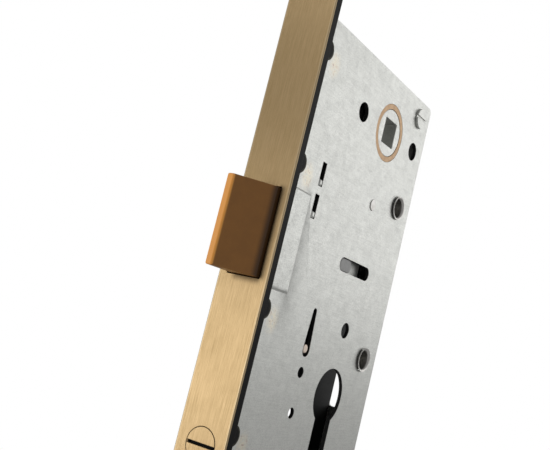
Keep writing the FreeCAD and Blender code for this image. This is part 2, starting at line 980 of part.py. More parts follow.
def make_lever():
    body = new_body("latch_lever")
    low, high = "arm_low", "arm_high"
    half = "fork_width / 2"
    pad(
        body, "fork", "XZ_Plane", low, high,
        polygon(
            ("-" + half, "lever_boss / 2"), ("-fork_slot / 4", "-lever_boss / 2"),
            ("fork_slot / 4", "-lever_boss / 2"), (half, "lever_boss / 2"),
            (half, "fork_reach"), ("-" + half, "fork_reach"),
        ),
    )
    pad(body, "boss", "XZ_Plane", low, high, circle("0", "0", "lever_boss"))
    pad(
        body, "bar", "XZ_Plane", low, high,
        rectangle("-lever_bar / 2", "lever_bar / 2", "-nose_reach", "0"),
    )
    pad(body, "nose", "XZ_Plane", low, high, circle("0", "-nose_reach", "nose_radius"))
    pocket(
        body, "fork_gap", "XZ_Plane", low, high,
        rectangle("-fork_slot / 2", "fork_slot / 2", "fork_depth", "fork_reach"),
    )
    pocket(body, "bush_hole", "XZ_Plane", low, high, circle("0", "0", "lever_bush"))
    turn_about_y(body, "0", "pivot_level", "half_swing")

    bush = rod("lever_bush_blank", "0", low, "pivot_level", "lever_bush", high)
    bore = rod("lever_bush_bore", "0", low, "pivot_level", "post_radius + running", high)
    keep("lever_bush", cut("lever_bush", bush, bore))

    post = fuse(
        "lever_post",
        rod("post_body", "0", "-inner", "pivot_level", "post_radius", "inner"),
        rod(
            "post_ends", "0", "-half_case - post_proud", "pivot_level", "post_tenon",
            "half_case + post_proud",
        ),
    )
    keep("lever_post", post)
    sleeves = []
    for name, start, end in (
        ("cover_sleeve", "-inner", "arm_low - sleeve_play"),
        ("tray_sleeve", "arm_high + sleeve_play", "inner"),
    ):
        blank = rod(name + "_blank", "0", start, "pivot_level", "sleeve_radius", end)
        hole = rod(name + "_bore", "0", start, "pivot_level", "post_radius + press_gap", end)
        sleeves.append(cut(name, blank, hole))
    group("lever_sleeves", *sleeves)


# ---- deadlocking slide ------------------------------------------------------


def make_slide():
    body = new_body("deadlock_slide")

    def level(name):
        return "latch_level + " + name

    pad(
        body, "slide_plate", "XZ_Plane", "slide_low", "slide_high",
        polygon(
            ("slide_left", level("slide_bottom")), ("slide_toe", level("slide_bottom")),
            ("slide_toe", level("slide_toe_top")),
            ("slide_cam_across", level("slide_cam_up")),
            ("slide_right", level("slide_cam_end")), ("slide_right", level("slide_shoulder")),
            ("block_to", level("slide_shoulder")), ("block_to", level("block_top")),
            ("block_from", level("block_top")), ("block_from", level("slide_shoulder")),
            ("slide_left", level("slide_shoulder")),
        ),
        circle("peg_across", level("peg_up"), "peg_radius"),
    )
    keep(
        "deadlock_peg",
        rod("deadlock_peg", "peg_across", "peg_face", level("peg_up"), "peg_radius", "slide_high"),
    )
    keep(
        "slide_pin",
        rod(
            "slide_pin", "guide_pin_across", "-inner", level("guide_pin_up"), "guide_pin", "inner"
        ),
    )
    body = new_body("detent_spring")
    pad(
        body, "leaf", "XZ_Plane", "-leaf_half", "leaf_half",
        polygon(
            ("leaf_foot", level("leaf_bottom")),
            ("leaf_foot + leaf_thick", level("leaf_bottom")),
            ("leaf_crest + leaf_thick", level("leaf_middle")),
            ("leaf_foot + leaf_thick", level("leaf_top")),
            ("leaf_foot", level("leaf_top")),
            ("leaf_crest", level("leaf_middle")),
        ),
    )


# ---- checks and export ------------------------------------------------------


def check_and_export():
    doc.recompute()
    faults = [
        item.Label for item in doc.Objects if {"Invalid", "Error"} & set(item.State)
    ]
    for name, item in nodes.items():
        shape = item.Shape
        if shape.isNull() or not shape.isValid() or not shape.Solids:
            faults.append(name)
    if faults:
        raise RuntimeError("not sound: " + ", ".join(faults))
    os.makedirs("parts", exist_ok=True)
    for name, item in nodes.items():
        item.Shape.exportStep("parts/%s.step" % name)
        print("%-20s %2d solid(s) %9.1f mm3" % (name, len(item.Shape.Solids), item.Shape.Volume))


fill_sheet()
make_forend()
make_cover()
make_tray()
make_eyelets()
make_spacers_and_screws()
make_cylinder_screw()
make_latch_head()
make_latch_tail()
make_latch_trim()
make_latch_spring()
make_latch_guide()
make_follower()
make_lever()
make_slide()
check_and_export()
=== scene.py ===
import json
from math import cos, pi, radians, sin

import bpy
from bpy.props import FloatProperty, FloatVectorProperty, IntProperty, PointerProperty
from bpy.types import Operator, Panel, PropertyGroup
from mathutils import Matrix, Vector

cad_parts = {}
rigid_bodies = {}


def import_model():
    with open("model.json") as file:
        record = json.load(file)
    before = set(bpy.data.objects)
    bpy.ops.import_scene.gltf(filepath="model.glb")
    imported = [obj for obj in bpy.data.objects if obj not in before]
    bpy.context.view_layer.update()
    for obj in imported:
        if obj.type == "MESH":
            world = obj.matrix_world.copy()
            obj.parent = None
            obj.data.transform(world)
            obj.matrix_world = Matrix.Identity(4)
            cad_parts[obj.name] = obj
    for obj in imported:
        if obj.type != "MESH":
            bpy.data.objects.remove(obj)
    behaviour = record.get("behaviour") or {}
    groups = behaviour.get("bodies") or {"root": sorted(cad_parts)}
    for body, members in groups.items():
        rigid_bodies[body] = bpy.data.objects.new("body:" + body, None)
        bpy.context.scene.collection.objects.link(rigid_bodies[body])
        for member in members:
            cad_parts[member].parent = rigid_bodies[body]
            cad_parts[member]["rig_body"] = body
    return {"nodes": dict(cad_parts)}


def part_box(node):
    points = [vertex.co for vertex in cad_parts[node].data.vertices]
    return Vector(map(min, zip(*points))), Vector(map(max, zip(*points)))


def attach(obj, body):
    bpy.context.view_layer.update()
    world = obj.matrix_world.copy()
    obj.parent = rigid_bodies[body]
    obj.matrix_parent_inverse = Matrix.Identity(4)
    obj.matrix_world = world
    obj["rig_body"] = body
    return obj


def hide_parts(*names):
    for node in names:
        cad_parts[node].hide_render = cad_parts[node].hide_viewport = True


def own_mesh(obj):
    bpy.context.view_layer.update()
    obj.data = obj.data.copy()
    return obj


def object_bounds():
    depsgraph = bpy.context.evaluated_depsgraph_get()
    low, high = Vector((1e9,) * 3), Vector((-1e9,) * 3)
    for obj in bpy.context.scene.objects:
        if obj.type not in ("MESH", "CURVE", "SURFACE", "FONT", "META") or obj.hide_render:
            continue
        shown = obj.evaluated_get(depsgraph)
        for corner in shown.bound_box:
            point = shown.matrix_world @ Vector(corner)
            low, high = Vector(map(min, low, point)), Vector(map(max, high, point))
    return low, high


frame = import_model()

bl_info = {
    "name": "Mortise Lock",
    "version": (1, 0, 0),
    "blender": (4, 5, 0),
    "location": "3D View > Sidebar > Lock",
    "description": "Finishes the pieces of a sprung-latch mortise lock on their CAD frame",
    "category": "Object",
}

# Metres. The origin is on the cylinder's axis, half way through the case. +X runs into the
# door, +Z is up, and the cover is on the -Y side.
MM = 0.001
CAD_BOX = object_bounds()


def of_node(node):
    """A node's lowest and highest corners in millimetres."""
    low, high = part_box(node)
    return low / MM, high / MM


FOREND_LOW, FOREND_HIGH = of_node("forend")
PAD_TOP = of_node("case_cover")[0].y
TRAY_LOW, TRAY_HIGH = of_node("case_tray")
HEAD_LOW, HEAD_HIGH = of_node("latch_head")
LATCH_LEVEL = (HEAD_LOW.z + HEAD_HIGH.z) / 2
HEAD_HALF = (HEAD_HIGH.z - HEAD_LOW.z) / 2

# Millimetres: how far each of the forend's lugs is above the latch, the lugs' radius and the thickness
# of the case's sheet.
LUG_ABOVE_LATCH = (53.5, 20.9, -19.6, -53.5)
LUG_RADIUS = 2.9
SHEET = 1.2

# Millimetres: the tubular rivets' outer radius and the wall inside it, how much smaller their
# rolled rims are than the CAD rims, and how far the rims stop short of the CAD rims' faces.
EYELET_RADIUS = 3.3
EYELET_WALL = 0.3
EYELET_ROLL_IN = 0.35
EYELET_SHORT = 0.02

# Metres: each light card's place and two sides, the point the cards face, and the floor's disc
# with its gap under the lock.
CARDS = {
    "left_card": ((-0.45, 0.3, -0.075), (0.4, 0.36)),
    "right_card": ((0.42, -0.3, 0.21), (0.5, 0.4)),
    "top_card": ((-0.4, 0.2, 0.5), (0.5, 0.4)),
}
LIT_POINT = (-0.02, 0, 0.03)
FLOOR_MIDDLE = (-0.04, -0.02)
FLOOR_RADIUS = 0.175
FLOOR_GAP = 0.0002


# ---- sizes and colours ------------------------------------------------------


def colour(name, description, default):
    return FloatVectorProperty(
        name=name, description=description, subtype="COLOR", size=3, min=0, max=1, default=default
    )


def length(name, description, default):
    return FloatProperty(
        name=name, description=description, default=default, min=0, unit="LENGTH", precision=5
    )


class LockEdges(PropertyGroup):
    """How far the edges of each kind of piece are worn or rolled over."""

    sheet: length("Sheet", "Rolled edge of punched sheet", 0.00018)
    plate: length("Forend", "Broken edge of the forend", 0.00012)
    turned: length("Turned parts", "Broken edge of pins, posts and screws", 0.0002)
    stamped: length("Stamped levers", "Broken edge of levers and slides", 0.00015)
    moulded: length("Moulded parts", "Soft edge of the plastic shoe", 0.00035)
    steps: IntProperty(name="Steps", description="Facets across one edge", default=2, min=1, max=5)


class LockColours(PropertyGroup):
    """Colours of the finishes."""

    brass: colour("Brass", "Brushed face of the forend", (0.56, 0.40, 0.215))
    brass_deep: colour("Brass, deep", "Grain in the brushed face", (0.4, 0.277, 0.132))
    black: colour("Blackened steel", "Edges and rear of the forend", (0.006, 0.0057, 0.0055))
    zinc: colour("Zinc", "Plated sheet", (0.72, 0.725, 0.69))
    zinc_dull: colour("Zinc, dull", "Darker flecks in the plating", (0.47, 0.475, 0.455))
    # Painted shade: the near-black colour given to the faces inside the case and the cut walls of its
    # holes.
    inside_painted_shade: colour("Inside", "Painted shade on the inner faces of the case", (0.011, 0.011, 0.0105))
    steel: colour("Steel", "Bright turned steel", (0.56, 0.55, 0.53))
    spring: colour("Spring wire", "Drawn and tempered wire", (0.3, 0.3, 0.31))
    brown: colour("Latch", "Moulded latch head", (0.285, 0.12, 0.022))
    # Painted light: a far lighter brown for the latch's tip face, standing in for the light falling on
    # it.
    brown_painted_tip_light: colour("Latch, lit tip", "Painted light on the tip of the latch head", (0.98, 0.42, 0.08))
    peg: colour("Peg", "Rubbed end of the slide's peg", (0.9, 0.76, 0.64))
    grey: colour("Shoe", "Moulded guide shoe", (0.42, 0.42, 0.41))
    bronze: colour("Bronze", "Sintered bushes", (0.5, 0.34, 0.2))
    zinc_pit: colour("Zinc, pits", "Dark pits in the plating", (0.22, 0.22, 0.2))
    straw: colour("Tint, straw", "Heat tint by the lugs", (0.8, 0.72, 0.55))
    rose: colour("Tint, rose", "Stronger heat tint by the lugs", (0.42, 0.3, 0.28))
    # Painted highlight: a lighter brass along the long edges of the forend's face.
    brass_edge_highlight: colour("Brass, edge", "Brighter long edges of the face", (0.8, 0.66, 0.44))
    # Painted shade: a dark brown on the forend beside and under the latch, standing in for the latch's
    # shadow.
    latch_painted_shade: colour("Latch shade", "Bloom beside the latch", (0.1, 0.07, 0.036))
    black_speck: colour("Black, specks", "Worn specks on the edges", (0.026, 0.023, 0.018))
    # Painted highlight: a lighter black on the lugs' rims, standing in for light on their rounded
    # edges.
    black_rim_highlight: colour("Black, rims", "Painted highlight on the rims of the lugs", (0.07, 0.068, 0.05))
    black_cloud: colour("Black, clouds", "Thin spots in the slide's blacking", (0.032, 0.03, 0.028))
    steel_stain: colour("Steel, stained", "Stain on turned steel", (0.36, 0.34, 0.31))
    spring_scale: colour("Spring, scale", "Scale on the wire", (0.2, 0.19, 0.2))
    brown_cloud: colour("Latch, clouds", "Darker clouds in the moulding", (0.21, 0.088, 0.017))
    # Painted shade: near-black brown on the latch's side next to the opening.
    brown_side_painted_shade: colour("Latch, side", "Shaded side next to the opening", (0.03, 0.013, 0.004))
    peg_mark: colour("Peg, marks", "Scuffs on the peg", (0.62, 0.5, 0.42))
    grey_rub: colour("Shoe, rubbed", "Rubbed parts of the shoe", (0.3, 0.3, 0.295))
    bronze_oil: colour("Bronze, oiled", "Oil stain on the bushes", (0.34, 0.21, 0.12))
    bronze_pore: colour("Bronze, pores", "Open pores", (0.12, 0.075, 0.045))


class LockStudio(PropertyGroup):
    """The camera and the lights."""

    place: FloatVectorProperty(
        name="Camera", description="Where the camera stands", size=3, unit="LENGTH",
        subtype="TRANSLATION", default=(-0.2329, -0.1293, 0.0121),
    )
    azimuth: FloatProperty(
        name="Azimuth", description="Turn of the view from +Y towards +X", unit="ROTATION",
        default=0.978164,
    )
    elevation: FloatProperty(
        name="Elevation", description="How far the view looks down", unit="ROTATION",
        default=-0.134042,
    )
    roll: FloatProperty(
        name="Roll", description="Turn of the camera about its view", unit="ROTATION",
        default=0.243983,
    )
    lens: FloatProperty(name="Lens", description="Focal length on 36 mm", default=55.19, min=1)
    left: FloatProperty(name="Left card", description="Power, watts", default=0.8, min=0)
    right: FloatProperty(name="Right card", description="Power, watts", default=0.75, min=0)
    top: FloatProperty(name="Top card", description="Power, watts", default=0.6, min=0)
    room: FloatProperty(name="Room", description="Light from all round", default=0.34, min=0)


# ---- shader nodes -----------------------------------------------------------


class Number:
    """A shader value. Arithmetic on it adds Math nodes to its finish."""

    def __init__(self, finish, socket):
        self.finish = finish
        self.socket = socket

    def math(self, operation, first, second):
        return self.finish.node("Math", {"operation": operation}, {0: first, 1: second})

    def __add__(self, other):
        return self.math("ADD", self, other)

    def __radd__(self, other):
        return self.math("ADD", other, self)

    def __sub__(self, other):
        return self.math("SUBTRACT", self, other)

    def __rsub__(self, other):
        return self.math("SUBTRACT", other, self)

    def __mul__(self, other):
        return self.math("MULTIPLY", self, other)

    def __rmul__(self, other):
        return self.math("MULTIPLY", other, self)

    def __abs__(self):
        return self.math("ABSOLUTE", self, 0)

    def root(self):
        return self.math("SQRT", self, 0)

    def larger(self, other):
        return self.math("MAXIMUM", self, other)

    def smooth(self, low, high):
        """0 below low, 1 above high, and an even curve between them."""
        return self.finish.node(
            "MapRange", {"interpolation_type": "SMOOTHSTEP"}, {0: self, 1: low, 2: high}
        )


class Finish:
    """A material and the nodes in it. Its patterns are in millimetres on the lock."""

    def __init__(self, name):
        self.material = bpy.data.materials.new(name)
        self.material.use_nodes = True
        self.tree = self.material.node_tree
        self.tree.nodes.clear()
        place = self.node("TexCoord", output="Object")
        self.place = self.node("VectorMath", {"operation": "SCALE"}, {0: place, "Scale": 1 / MM})
        self.across, self.through, self.up = (
            self.node("SeparateXYZ", inputs={0: self.place}, output=axis) for axis in "XYZ"
        )

    def node(self, kind, settings=None, inputs=None, output=0):
        """Add a node, set it up, feed its sockets and give one of its outputs."""
        made = self.tree.nodes.new("ShaderNode" + kind)
        for name, value in (settings or {}).items():
            setattr(made, name, value)
        for name, value in (inputs or {}).items():
            if isinstance(value, Number):
                self.tree.links.new(value.socket, made.inputs[name])
            else:
                made.inputs[name].default_value = value
        return Number(self, made.outputs[output])

    def stretched(self, across, through, up):
        """Places with each axis scaled, in repeats to the millimetre."""
        return self.node("Mapping", {"vector_type": "POINT"}, {0: self.place, 3: (across, through, up)})

    def noise(self, scale, detail=3, roughness=0.55, place=None):
        inputs = {"Vector": place or self.place, "Scale": scale, "Detail": detail}
        return self.node("TexNoise", inputs={**inputs, "Roughness": roughness}, output="Fac")

    def within(self, value, low, high):
        """1 between two limits, and 0 at them and beyond."""
        middle, reach = (low + high) / 2, (high - low) / 2
        return 1 - abs(value - middle).smooth(reach - 0.16, reach - 0.04)

    def mix(self, amount, first, second):
        """Blend two colours."""
        colours = {6: opaque(first), 7: opaque(second)}
        return self.node("Mix", {"data_type": "RGBA"}, {0: amount, **colours}, output=2)

    def relief(self, height, depth):
        """The normal of a surface that rises by depth, in millimetres, where height is 1."""
        return self.node("Bump", inputs={"Height": height, "Distance": depth * MM, "Strength": 1})

    def surface(self, base, roughness, normal, **constants):
        """Finish the material with its one shader."""
        inputs = {"Base Color": opaque(base), "Roughness": roughness, "Normal": normal}
        inputs.update({name.replace("_", " ").title(): value for name, value in constants.items()})
        shader = self.node("BsdfPrincipled", inputs=inputs, output="BSDF")
        out = self.tree.nodes.new("ShaderNodeOutputMaterial")
        self.tree.links.new(shader.socket, out.inputs["Surface"])
        return self.material


def opaque(value):
    """A colour with its fourth number, or a link as it is."""
    return value if isinstance(value, Number) else (*value, 1)


def finish_once(build):
    """Build a material at its first use, and give the same one after that."""
    made = []

    def get():
        if not made:
            made.append(build(bpy.context.scene.lock_colours))
        return made[0]

    return get


def plating(made, colours):
    """Cloudy zinc with fine rolling lines along X: its colour, roughness and normal."""
    clouds = made.noise(0.35, 5, 0.65)
    flecks = made.noise(1.6, 4, 0.7)
    lines = made.noise(1, 3, 0.6, made.stretched(0.12, 2.4, 2.4))
    grit = made.noise(4.2, 3, 0.6)
    tone = (clouds * 0.22 + flecks * 0.28 + lines * 0.2 + grit * 0.55 - 0.1).smooth(0.28, 0.74)
    base = made.mix(tone, colours.zinc_dull, colours.zinc)
    pits = 1 - grit.smooth(0.3, 0.4)
    base = made.mix(pits * 0.35, base, colours.zinc_pit)
    height = lines * 0.2 + flecks * 0.3 + grit * 0.6
    return base, 0.5 - tone * 0.16 + flecks * 0.08, made.relief(height, 0.02)


@finish_once
def zinc(colours):
    """Plated steel of the levers, slides and screws."""
    made = Finish("zinc_plate")
    base, roughness, normal = plating(made, colours)
    return made.surface(base, roughness, normal, metallic=0.9)


@finish_once
def case_zinc(colours):
    """Plated sheet of the case: heat tinted by the lugs, with painted shade inside it and on the cut
    walls of its holes.
    """
    made = Finish("case_zinc")
    base, roughness, normal = plating(made, colours)
    base = heat_tint(made, base, colours)
    # Painted shade: every face set back from the case's outer faces is mixed to a near-black colour.
    inside = made.within(made.across, TRAY_LOW.x + SHEET, TRAY_HIGH.x - SHEET)
    inside = inside * made.within(made.through, -TRAY_HIGH.y, TRAY_HIGH.y)
    inside = inside * made.within(made.up, TRAY_LOW.z + SHEET, TRAY_HIGH.z - SHEET)
    base = made.mix(inside, base, colours.inside_painted_shade)
    return made.surface(base, roughness + inside * 0.2, normal, metallic=0.9 - inside * 0.6)


def heat_tint(made, base, colours):
    """Straw and rose smudges where the forend's lugs are riveted over."""
    patches = made.noise(0.9, 3, 0.6)
    around = None
    for level in LUG_ABOVE_LATCH:
        across = made.across - (FOREND_HIGH.x + 2.2)
        up = (made.up - (LATCH_LEVEL + level - 2.5)) * 0.75
        near = 1 - (across * across + up * up).root().smooth(0.8, 3.8)
        around = near if around is None else around.larger(near)
    straw = around * patches.smooth(0.3, 0.55)
    rose = around * patches.smooth(0.56, 0.66)
    base = made.mix(straw * 0.55, base, colours.straw)
    return made.mix(rose * 0.75, base, colours.rose)


@finish_once
def brass(colours):
    """Brushed brass on the forend's face, with blackened edges and rear, a painted highlight along its
    long edges, painted shade beside the latch and painted highlights on the lugs' rims.
    """
    made = Finish("antique_brass")
    grain = made.noise(1, 4, 0.65, made.stretched(3, 5, 0.07))
    fine = made.noise(1, 3, 0.6, made.stretched(9, 11, 0.22))
    clouds = made.noise(0.12, 3, 0.6)
    tone = (grain * 0.65 + fine * 0.65 + clouds * 0.2 - 0.25).smooth(0.3, 0.72)
    face = made.mix(tone, colours.brass_deep, colours.brass)
    # Painted highlight: the brass is mixed lighter near the long edges of the face.
    edge = abs(made.through).smooth(FOREND_HIGH.y - 0.75, FOREND_HIGH.y - 0.35)
    face = made.mix(edge * 0.35, face, colours.brass_edge_highlight)
    # Painted shade beside and under the latch's opening.
    face = made.mix(painted_shade_by_latch(made) * 0.8, face, colours.latch_painted_shade)
    dark = made.across.smooth(FOREND_LOW.x + 0.28, FOREND_LOW.x + 0.46)
    speck = made.noise(2.2, 3, 0.6)
    black = made.mix(speck.smooth(0.5, 0.8) * 0.5, colours.black, colours.black_speck)
    # Painted highlight: a lighter black on the outer ring of each lug.
    black = made.mix(lug_rim_highlights(made) * 0.7, black, colours.black_rim_highlight)
    base = made.mix(dark, face, black)
    roughness = 0.4 - tone * 0.08 + dark * 0.2
    normal = made.relief(grain * 0.6 + fine * 0.4, 0.014)
    return made.surface(base, roughness, normal, metallic=0.92)


def painted_shade_by_latch(made):
    """Painted shade: a dark band on the face beside and under the latch's opening, standing in for the
    latch's shadow.
    """
    beside = HEAD_LOW.y - made.through
    beside = beside.smooth(-0.4, 0) * (1 - beside.smooth(0.3, 2.7))
    beside = beside * (1 - abs(made.up - LATCH_LEVEL).smooth(HEAD_HALF - 0.6, HEAD_HALF + 1.4))
    below = LATCH_LEVEL - HEAD_HALF - made.up
    below = below.smooth(-0.4, 0) * (1 - below.smooth(0.3, 2.4))
    below = below * (1 - abs(made.through + 1.2).smooth(3.4, 5.4))
    return beside.larger(below)


def lug_rim_highlights(made):
    """Painted highlight: a lighter ring on the outer edge of each lug that holds the case, standing in
    for light on its rounded rim.
    """
    rims = None
    for level in LUG_ABOVE_LATCH:
        up = made.up - (LATCH_LEVEL + level)
        across = made.across - (FOREND_HIGH.x - LUG_RADIUS)
        reach = (across * across + up * up).root()
        rim = reach.smooth(LUG_RADIUS - 0.75, LUG_RADIUS - 0.4)
        rims = rim if rims is None else rims * rim
    return rims * made.across.smooth(FOREND_HIGH.x - LUG_RADIUS, FOREND_HIGH.x - LUG_RADIUS + 0.8)


@finish_once
def turned_steel(colours):
    """Bright turned steel with fine tool marks."""
    made = Finish("turned_steel")
    marks = made.noise(3.5, 4, 0.7)
    stain = made.noise(0.5, 3, 0.6)
    base = made.mix(stain.smooth(0.35, 0.75) * 0.6, colours.steel, colours.steel_stain)
    roughness = 0.3 + marks * 0.16
    return made.surface(base, roughness, made.relief(marks, 0.01), metallic=1.0)


@finish_once
def spring_wire(colours):
    """Drawn wire, blue-grey from tempering."""
    made = Finish("spring_wire")
    scale = made.noise(4, 3, 0.6)
    base = made.mix(scale.smooth(0.3, 0.7), colours.spring, colours.spring_scale)
    roughness = 0.32 + scale * 0.2
    return made.surface(base, roughness, made.relief(scale, 0.008), metallic=1.0)


@finish_once
def brown_moulding(colours):
    """The latch head: satin brown, with painted light on its tip face, which is coloured far lighter,
    and painted shade on its side next to the opening.
    """
    made = Finish("brown_moulding")
    grain = made.noise(3.2, 4, 0.6)
    clouds = made.noise(0.3, 3, 0.6)
    # Painted light: the tip face is mixed to a far lighter brown.
    tip = 1 - made.across.smooth(HEAD_LOW.x + 0.15, HEAD_LOW.x + 0.75)
    rubbed = tip * (0.75 + clouds * 0.4)
    base = made.mix(clouds.smooth(0.3, 0.7) * 0.35, colours.brown, colours.brown_cloud)
    base = made.mix(rubbed.smooth(0.05, 1), base, colours.brown_painted_tip_light)
    # Painted shade: the side next to the opening is mixed to near black.
    side = 1 - made.through.smooth(HEAD_LOW.y + 0.1, HEAD_LOW.y + 1.4)
    base = made.mix(side * 0.85, base, colours.brown_side_painted_shade)
    roughness = 0.42 + grain * 0.14 - tip * 0.08
    return made.surface(base, roughness, made.relief(grain, 0.012))


@finish_once
def black_steel(colours):
    """Oil-blackened steel of the deadlocking slide."""
    made = Finish("black_steel")
    cloud = made.noise(0.7, 4, 0.6)
    grain = made.noise(5, 3, 0.6)
    base = made.mix(cloud.smooth(0.35, 0.75) * 0.5, colours.black, colours.black_cloud)
    return made.surface(base, 0.5 + grain * 0.14, made.relief(grain, 0.01), metallic=0.5)


@finish_once
def pale_peg(colours):
    """The slide's peg, its end rubbed bright."""
    made = Finish("pale_peg")
    marks = made.noise(4, 4, 0.6)
    base = made.mix(marks.smooth(0.35, 0.7) * 0.5, colours.peg, colours.peg_mark)
    return made.surface(base, 0.34 + marks * 0.14, made.relief(marks, 0.012), metallic=0.35)


@finish_once
def grey_moulding(colours):
    """The guide shoe: matt grey plastic with a faint grain."""
    made = Finish("grey_moulding")
    grain = made.noise(4.5, 3, 0.6)
    rub = made.noise(0.8, 3, 0.6)
    base = made.mix(rub.smooth(0.3, 0.75) * 0.5, colours.grey, colours.grey_rub)
    return made.surface(base, 0.5 + grain * 0.15, made.relief(grain, 0.01))


@finish_once
def bronze(colours):
    """Sintered bronze: fine pores and an oily stain."""
    made = Finish("sintered_bronze")
    pores = made.noise(7, 4, 0.7)
    oil = made.noise(0.6, 3, 0.6)
    base = made.mix(oil.smooth(0.3, 0.7) * 0.6, colours.bronze, colours.bronze_oil)
    base = made.mix(1 - pores.smooth(0.3, 0.42), base, colours.bronze_pore)
    return made.surface(base, 0.36 + pores * 0.2, made.relief(pores, 0.02), metallic=0.85)


# ---- modelling --------------------------------------------------------------


def use_only(piece):
    """Make one object the selection and the active object."""
    bpy.ops.object.select_all(action="DESELECT")
    piece.select_set(True)
    bpy.context.view_layer.objects.active = piece


def apply_all(piece):
    """Apply the piece's modifiers in order."""
    use_only(piece)
    for modifier in list(piece.modifiers):
        bpy.ops.object.modifier_apply(modifier=modifier.name)


def smooth(piece, angle=32):
    """Shade curved faces smooth and let the large flat ones stay flat."""
    use_only(piece)
    bpy.ops.object.shade_smooth_by_angle(angle=radians(angle))
    weighting = piece.modifiers.new("flat_faces", "WEIGHTED_NORMAL")
    weighting.keep_sharp = True
    weighting.weight = 100
    apply_all(piece)


def edit(piece, mode="VERT"):
    """Enter edit mode with everything deselected."""
    use_only(piece)
    bpy.ops.object.mode_set(mode="EDIT")
    bpy.ops.mesh.select_mode(type=mode)
    bpy.ops.mesh.select_all(action="DESELECT")


def done():
    bpy.ops.object.mode_set(mode="OBJECT")


def pick(piece, kind, test):
    """Select the vertices, edges or faces whose middle passes the test."""
    done()
    mesh = piece.data
    for item in getattr(mesh, kind):
        if kind == "vertices":
            middle = item.co
        else:
            corners = [mesh.vertices[index].co for index in item.vertices]
            middle = sum(corners, Vector()) / len(corners)
        item.select = bool(test(middle))
    bpy.ops.object.mode_set(mode="EDIT")


def weld(piece):
    """Merge doubled vertices and clear needless edges from flat faces."""
    edit(piece)
    bpy.ops.mesh.select_all(action="SELECT")
    bpy.ops.mesh.remove_doubles(threshold=0.002 * MM)
    bpy.ops.mesh.dissolve_limited(angle_limit=radians(0.6), use_dissolve_boundaries=False)
    done()


def copy_of(node):
    """A merged copy of a CAD node's mesh, as an object of its own."""
    source = frame["nodes"][node]
    piece = bpy.data.objects.new(node + "_finished", source.data.copy())
    bpy.context.scene.collection.objects.link(piece)
    weld(piece)
    return piece


def break_edges(piece, width, steps, angle=34):
    """Round off every edge that turns by more than the angle."""
    bevel = piece.modifiers.new("broken_edges", "BEVEL")
    bevel.width = width
    bevel.segments = steps
    bevel.limit_method = "ANGLE"
    bevel.angle_limit = radians(angle)
    bevel.miter_outer = "MITER_ARC"
    apply_all(piece)
    smooth(piece)


def settle(piece, node, material):
    """Give a piece its finish, and let it stand for a CAD node on that node's body."""
    piece.data.materials.clear()
    piece.data.materials.append(material)
    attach(piece, frame["nodes"][node]["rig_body"])
    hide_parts(node)
    return piece


def refine(node, width, material, steps=None):
    """The usual piece: a CAD node's shape with its edges broken."""
    piece = copy_of(node)
    break_edges(piece, width, steps or bpy.context.scene.lock_edges.steps)
    return settle(piece, node, material)


def round_ends(piece, low, high, width):
    """Round over the end faces that lie at two levels of Y."""
    near = 0.05 * MM
    for level in (low, high):
        edit(piece, "FACE")
        pick(piece, "polygons", lambda middle: abs(middle.y - level) < near)
        bpy.ops.mesh.region_to_loop()
        bpy.ops.mesh.bevel(offset=width, segments=5, profile=0.5, clamp_overlap=True)
        done()


# ---- pieces -----------------------------------------------------------------


class LOCK_OT_forend(Operator):
    """Finish the forend, its brushed face and its riveted lugs"""

    bl_idname = "lock.forend"
    bl_label = "Forend"

    def execute(self, context):
        refine("forend", context.scene.lock_edges.plate, brass())
        return {"FINISHED"}


def soften_pad(cover):
    """Spread the rear flank of the pad over the latch, and round the pad's crest."""
    flank, near = 0.75 * MM, 0.1 * MM
    spread, drawn_in, base_step, rounding = 0.4 * MM, 1.25 * MM, 0.08 * MM, 0.5 * MM
    crest = [spot.co for spot in cover.data.vertices if spot.co.y < PAD_TOP * MM + near]
    rear = max(spot.x for spot in crest)
    lower, upper = min(spot.z for spot in crest), max(spot.z for spot in crest)
    foot = -TRAY_HIGH.y * MM
    edit(cover)
    pick(
        cover, "vertices",
        lambda spot: abs(spot.y - foot) < 0.15 * MM and abs(spot.x - rear - flank) < near
        and min(abs(spot.z - lower + flank), abs(spot.z - upper - flank)) < near,
    )
    bpy.ops.transform.translate(value=(spread, 0, 0))
    pick(cover, "vertices", lambda spot: near / 2 < foot - spot.y < 1.5 * near)
    bpy.ops.transform.translate(value=(0, base_step, 0))
    pick(
        cover, "vertices",
        lambda spot: spot.y < PAD_TOP * MM + near and abs(spot.x - rear) < near,
    )
    bpy.ops.transform.translate(value=(-drawn_in, 0, 0))
    done()
    edit(cover, "EDGE")
    pick(cover, "edges", lambda middle: middle.y < PAD_TOP * MM + near)
    bpy.ops.mesh.bevel(offset=rounding, segments=4)
    done()


class LOCK_OT_case(Operator):
    """Finish the case: its cover with the raised pad, and its folded tray"""

    bl_idname = "lock.case"
    bl_label = "Case"

    def execute(self, context):
        edges = context.scene.lock_edges
        cover = copy_of("case_cover")
        soften_pad(cover)
        break_edges(cover, edges.sheet, edges.steps)
        settle(cover, "case_cover", case_zinc())
        refine("case_tray", edges.sheet, case_zinc())
        return {"FINISHED"}


